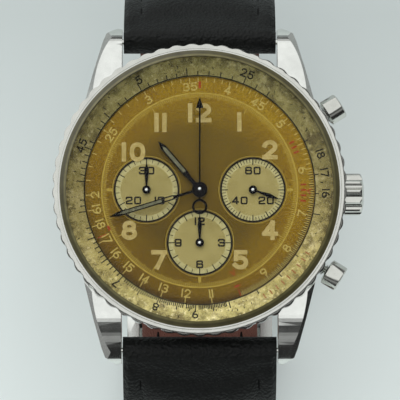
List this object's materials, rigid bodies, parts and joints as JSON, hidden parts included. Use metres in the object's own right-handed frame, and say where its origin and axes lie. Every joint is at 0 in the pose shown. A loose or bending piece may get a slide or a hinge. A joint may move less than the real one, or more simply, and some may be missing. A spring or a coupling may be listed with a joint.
{
  "type": "chronograph wristwatch",
  "caption": "Mechanical chronograph wristwatch with a scalloped rotating slide-rule bezel, sub-dials, fluted crown, round pushers and a padded leather strap buckled in a loop.",
  "frame": {"origin": "centre of the case back's outer face, where it meets the wrist", "axes": "+Z out of the dial, +Y to 12 o'clock along the strap, +X to the crown at 3 o'clock"},
  "size_m": [0.0441, 0.0682, 0.0618],
  "materials": {
    "case_steel": "polished, lightly scratched",
    "bezel_steel": "polished scalloped edge",
    "movement_steel": "machined",
    "movement_brass": "machined",
    "blued_screws": "blued and polished",
    "dial_ochre": "matte, aged and mottled",
    "dial_cream": "matte, aged",
    "slide_rule_cream": "matte, aged and worn",
    "hand_black": "satin",
    "hand_lume": "aged luminous paint with black edges",
    "crystal": "clear",
    "seal_rubber": "matte",
    "seal_nylon": "aged, translucent brown",
    "strap_leather": "black, padded and grained",
    "lining_leather": "reddish brown, smooth",
    "keeper_leather": "black, smooth"
  },
  "bodies": {
    "watch": {"mid_case": "case_steel", "case_back": "case_steel", "case_back_gasket": "seal_rubber", "crown_tube": "case_steel", "pusher_tubes": "case_steel", "bezel_gasket": "seal_rubber", "start_pusher_spring": "movement_steel", "reset_pusher_spring": "movement_steel", "movement_ring": "movement_brass", "main_plate": "movement_brass", "barrel_bridge": "movement_steel", "train_bridge": "movement_steel", "balance_cock": "movement_steel", "bridge_screws": "blued_screws", "rotor_bearing": "movement_steel", "hairspring": "blued_screws", "chronograph_plate": "movement_brass", "dial": "dial_ochre", "sub_dials": "dial_cream", "lug_bar_12": "case_steel", "lug_bar_6": "case_steel", "strap_12": "strap_leather", "strap_12_lining": "lining_leather", "strap_6": "strap_leather", "strap_6_lining": "lining_leather", "buckle_bar": "case_steel", "buckle_frame": "case_steel", "fixed_keeper": "keeper_leather"},
    "bezel": {"bezel_ring": "bezel_steel", "bezel_snap_wire": "movement_steel", "slide_rule_ring": "slide_rule_cream", "crystal": "crystal", "crystal_gasket": "seal_nylon"},
    "crown_seal": {"crown_gasket": "seal_rubber"},
    "crown": {"crown": "bezel_steel", "winding_stem": "movement_steel"},
    "setting_lever": {"setting_lever": "movement_steel"},
    "start_pusher": {"start_pusher": "bezel_steel"},
    "reset_pusher": {"reset_pusher": "bezel_steel"},
    "minute_hand": {"minute_hand": "hand_lume", "cannon_pinion": "movement_steel"},
    "minute_wheel": {"minute_wheel": "movement_brass"},
    "hour_hand": {"hour_hand": "hand_lume"},
    "fourth_wheel": {"fourth_wheel": "movement_brass", "small_seconds_hand": "hand_black"},
    "third_wheel": {"third_wheel": "movement_brass"},
    "centre_wheel": {"centre_wheel": "movement_brass"},
    "mainspring_barrel": {"mainspring_barrel": "movement_brass"},
    "barrel_arbor": {"barrel_arbor": "movement_steel"},
    "escape_wheel": {"escape_wheel": "movement_steel"},
    "pallet_fork": {"pallet_fork": "movement_steel"},
    "balance_wheel": {"balance_wheel": "movement_brass"},
    "rotor": {"rotor": "movement_steel"},
    "chronograph_hand": {"chronograph_hand": "hand_black"},
    "minute_counter_idler": {"minute_counter_idler": "movement_brass"},
    "minute_counter": {"minute_counter_hand": "hand_black"},
    "hour_counter_idler": {"hour_counter_idler": "movement_brass"},
    "hour_counter": {"hour_counter_hand": "hand_black"},
    "buckle_prong": {"buckle_prong": "case_steel"},
    "free_keeper": {"free_keeper": "keeper_leather"}
  },
  "joints": [
    {"name": "bezel_turn", "type": "hinge", "parent": "watch", "child": "bezel", "pos_m": [0, 0, 0.009], "axis": [0, 0, -1], "continuous": true},
    {"name": "crown_pull", "type": "slide", "parent": "watch", "child": "crown_seal", "axis": [1, 0, 0], "range_m": [0, 0.001]},
    {"name": "crown_turn", "type": "hinge", "parent": "crown_seal", "child": "crown", "pos_m": [0.02, 0, 0.0035], "axis": [1, 0, 0], "continuous": true},
    {"name": "setting_lever_swing", "type": "hinge", "parent": "watch", "child": "setting_lever", "pos_m": [0.01304, 0.0024, 0.0035], "axis": [0, 0, 1], "range_deg": [0, 29.4]},
    {"name": "start_push", "type": "slide", "parent": "watch", "child": "start_pusher", "axis": [-0.848, -0.5299, 0], "range_m": [0, 0.0008], "stiffness_N_per_m": 800, "springref_m": -0.0004, "deforming": ["start_pusher_spring"]},
    {"name": "reset_push", "type": "slide", "parent": "watch", "child": "reset_pusher", "axis": [-0.848, 0.5299, 0], "range_m": [0, 0.0008], "stiffness_N_per_m": 800, "springref_m": -0.0004, "deforming": ["reset_pusher_spring"]},
    {"name": "minute_hand_turn", "type": "hinge", "parent": "watch", "child": "minute_hand", "pos_m": [0, 0, 0.009], "axis": [0, 0, -1], "continuous": true},
    {"name": "minute_wheel_turn", "type": "hinge", "parent": "watch", "child": "minute_wheel", "pos_m": [0.0013, 0.00225, 0.0068], "axis": [0, 0, -1], "continuous": true},
    {"name": "hour_hand_turn", "type": "hinge", "parent": "watch", "child": "hour_hand", "pos_m": [0, 0, 0.0088], "axis": [0, 0, -1], "continuous": true},
    {"name": "fourth_wheel_turn", "type": "hinge", "parent": "watch", "child": "fourth_wheel", "pos_m": [0.0075, 0, 0.0041], "axis": [0, 0, -1], "continuous": true},
    {"name": "third_wheel_turn", "type": "hinge", "parent": "watch", "child": "third_wheel", "pos_m": [0.00388, -0.00189, 0.0037], "axis": [0, 0, -1], "continuous": true},
    {"name": "centre_wheel_turn", "type": "hinge", "parent": "watch", "child": "centre_wheel", "pos_m": [0, 0, 0.0033], "axis": [0, 0, -1], "continuous": true},
    {"name": "barrel_turn", "type": "hinge", "parent": "watch", "child": "mainspring_barrel", "pos_m": [-0.00632, -0.0023, 0.004], "axis": [0, 0, -1], "continuous": true},
    {"name": "escape_wheel_turn", "type": "hinge", "parent": "watch", "child": "escape_wheel", "pos_m": [0.00681, 0.00394, 0.0037], "axis": [0, 0, -1], "continuous": true},
    {"name": "barrel_arbor_turn", "type": "hinge", "parent": "watch", "child": "barrel_arbor", "pos_m": [-0.00632, -0.0023, 0.004], "axis": [0, 0, -1], "continuous": true},
    {"name": "pallet_rock", "type": "hinge", "parent": "watch", "child": "pallet_fork", "pos_m": [0.00523, 0.0062, 0.0034], "axis": [0, 0, 1], "range_deg": [-5, 5]},
    {"name": "balance_swing", "type": "hinge", "parent": "watch", "child": "balance_wheel", "pos_m": [0.00339, 0.00882, 0.004], "axis": [0, 0, 1], "range_deg": [-270, 270], "stiffness_Nm_per_rad": 0.0000001, "deforming": ["hairspring"]},
    {"name": "rotor_turn", "type": "hinge", "parent": "watch", "child": "rotor", "pos_m": [0, 0, 0.0017], "axis": [0, 0, -1], "continuous": true},
    {"name": "chronograph_hand_turn", "type": "hinge", "parent": "watch", "child": "chronograph_hand", "pos_m": [0, 0, 0.0094], "axis": [0, 0, -1], "continuous": true},
    {"name": "minute_counter_idler_turn", "type": "hinge", "parent": "watch", "child": "minute_counter_idler", "pos_m": [-0.00379, 0.0007, 0.0054], "axis": [0, 0, -1], "continuous": true},
    {"name": "minute_counter_turn", "type": "hinge", "parent": "watch", "child": "minute_counter", "pos_m": [-0.0075, 0, 0.0085], "axis": [0, 0, -1], "continuous": true},
    {"name": "hour_counter_idler_turn", "type": "hinge", "parent": "watch", "child": "hour_counter_idler", "pos_m": [-0.00388, -0.00434, 0.0058], "axis": [0, 0, -1], "continuous": true},
    {"name": "hour_counter_turn", "type": "hinge", "parent": "watch", "child": "hour_counter", "pos_m": [0, -0.0075, 0.0085], "axis": [0, 0, -1], "continuous": true},
    {"name": "prong_swing", "type": "hinge", "parent": "watch", "child": "buckle_prong", "pos_m": [0, -0.004, -0.04395], "axis": [1, 0, 0], "range_deg": [0, 25]},
    {"name": "free_keeper_slide", "type": "slide", "parent": "watch", "child": "free_keeper", "axis": [0, 1, 0], "range_m": [-0.0018, 0.001]}
  ],
  "couplings": [
    {"joint": "setting_lever_swing", "follows": "crown_pull", "rad_per_m": 513.13},
    {"joint": "minute_wheel_turn", "follows": "minute_hand_turn", "ratio": -0.33333},
    {"joint": "hour_hand_turn", "follows": "minute_hand_turn", "ratio": 0.083333},
    {"joint": "third_wheel_turn", "follows": "fourth_wheel_turn", "ratio": -0.13333},
    {"joint": "centre_wheel_turn", "follows": "fourth_wheel_turn", "ratio": 0.016667},
    {"joint": "barrel_turn", "follows": "fourth_wheel_turn", "ratio": -0.0027778},
    {"joint": "escape_wheel_turn", "follows": "fourth_wheel_turn", "ratio": -12},
    {"joint": "minute_counter_idler_turn", "follows": "chronograph_hand_turn", "ratio": -0.16667},
    {"joint": "minute_counter_turn", "follows": "chronograph_hand_turn", "ratio": 0.033333},
    {"joint": "hour_counter_idler_turn", "follows": "chronograph_hand_turn", "ratio": -0.0055556},
    {"joint": "hour_counter_turn", "follows": "chronograph_hand_turn", "ratio": 0.0013889}
  ]
}
